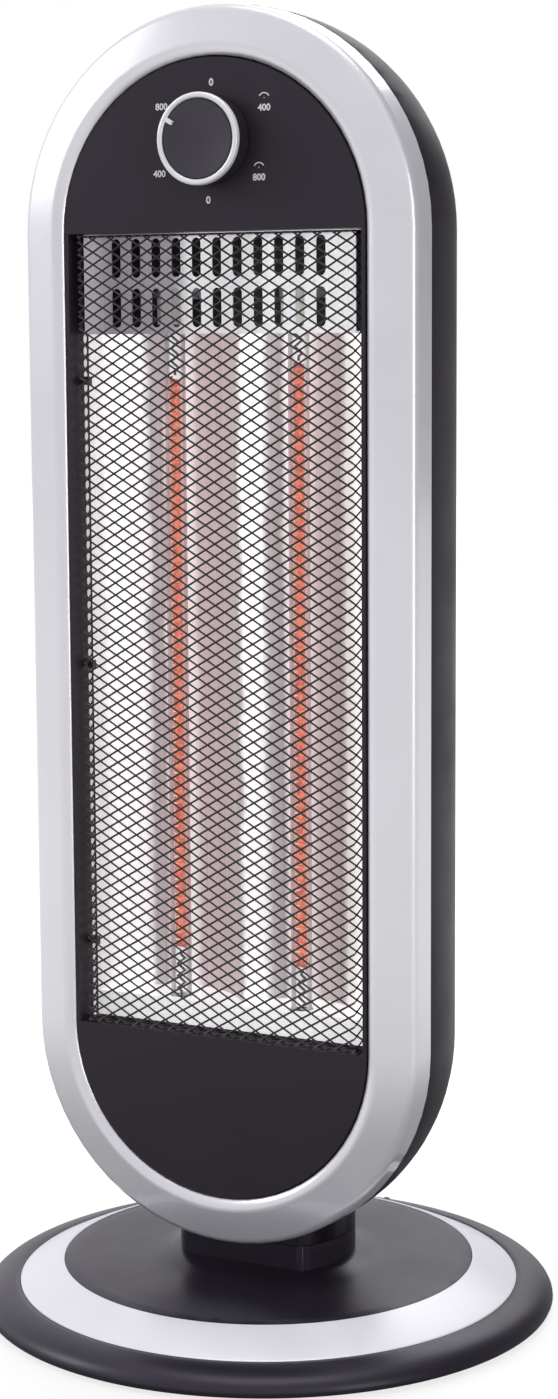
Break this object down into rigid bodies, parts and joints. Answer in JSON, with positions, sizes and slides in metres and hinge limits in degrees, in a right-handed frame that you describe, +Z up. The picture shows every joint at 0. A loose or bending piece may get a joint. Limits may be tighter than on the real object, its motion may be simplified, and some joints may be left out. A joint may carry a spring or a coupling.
{
  "type": "oscillating carbon heater",
  "caption": "Free-standing carbon heater: oval head with glowing quartz tubes behind a diamond grille, rotary switch, and a neck that swings on a round weighted base.",
  "frame": {"origin": "centre of the base's underside, on the axis that the head swings on", "axes": "+Z up, the heater's front faces -Y, +X to the right seen from the front"},
  "size_m": [0.28, 0.28, 0.62],
  "materials": {
    "black_gloss": "glossy black moulding",
    "charcoal_panel": "satin charcoal moulding",
    "silver_paint": "silver-painted moulding, satin",
    "knob_black": "satin black",
    "knob_bright": "bright plated",
    "bright_steel": "bright rolled sheet",
    "zinc_steel": "zinc-plated",
    "grille_black": "satin black paint",
    "quartz": "clear quartz",
    "carbon_glow": "glowing carbon strip",
    "ceramic": "unglazed white ceramic",
    "rubber_black": "matte rubber",
    "natural_plastic": "natural moulding",
    "weight_plate": "matte moulding"
  },
  "bodies": {
    "base": {"base_shell": "black_gloss", "base_trim_ring": "silver_paint", "base_plate": "weight_plate", "rubber_feet": "rubber_black", "base_screws": "zinc_steel", "cord_gland": "rubber_black", "terminal_block": "natural_plastic", "tip_switch": "natural_plastic", "tip_spring": "zinc_steel", "base_collar": "black_gloss", "collar_screws": "zinc_steel", "pivot_post": "zinc_steel", "slip_washer": "natural_plastic", "retaining_ring": "zinc_steel", "drive_sector": "natural_plastic", "post_nut": "zinc_steel"},
    "plunger": {"tip_plunger": "natural_plastic"},
    "head": {"neck": "black_gloss", "neck_screws": "zinc_steel", "motor_bracket": "zinc_steel", "swing_motor": "zinc_steel", "motor_screws": "zinc_steel", "rear_housing": "black_gloss", "carry_grip": "charcoal_panel", "housing_screws": "zinc_steel", "front_frame": "silver_paint", "front_panel": "charcoal_panel", "panel_screws": "zinc_steel", "guard_grille": "grille_black", "reflector": "bright_steel", "top_plate": "bright_steel", "bottom_plate": "bright_steel", "heat_shield": "zinc_steel", "reflector_screws": "zinc_steel", "quartz_tube_left": "quartz", "quartz_tube_right": "quartz", "filament_left": "carbon_glow", "filament_right": "carbon_glow", "tube_leads": "zinc_steel", "ceramic_caps": "ceramic", "tube_clips": "zinc_steel", "thermal_cutout": "natural_plastic", "rotary_switch": "natural_plastic", "switch_screws": "zinc_steel"},
    "pinion": {"drive_pinion": "natural_plastic", "motor_shaft": "zinc_steel"},
    "knob": {"switch_spindle": "zinc_steel", "knob": "knob_black", "knob_ring": "knob_bright"}
  },
  "joints": [
    {"name": "head_swing", "type": "hinge", "parent": "base", "child": "head", "pos_m": [0, 0, 0.052], "axis": [0, 0, 1], "range_deg": [-35, 35]},
    {"name": "pinion_turn", "type": "hinge", "parent": "head", "child": "pinion", "pos_m": [0.032, 0, 0.0762], "axis": [0, 0, 1], "range_deg": [-106, 106]},
    {"name": "knob_turn", "type": "hinge", "parent": "head", "child": "knob", "pos_m": [0, -0.06, 0.5585], "axis": [0, -1, 0], "continuous": true},
    {"name": "tip_slide", "type": "slide", "parent": "base", "child": "plunger", "axis": [0, 0, 1], "range_m": [-0.004, 0], "stiffness_N_per_m": 300, "springref_m": -0.006, "deforming": ["tip_spring"]}
  ],
  "couplings": [
    {"joint": "pinion_turn", "follows": "head_swing", "ratio": 3}
  ]
}
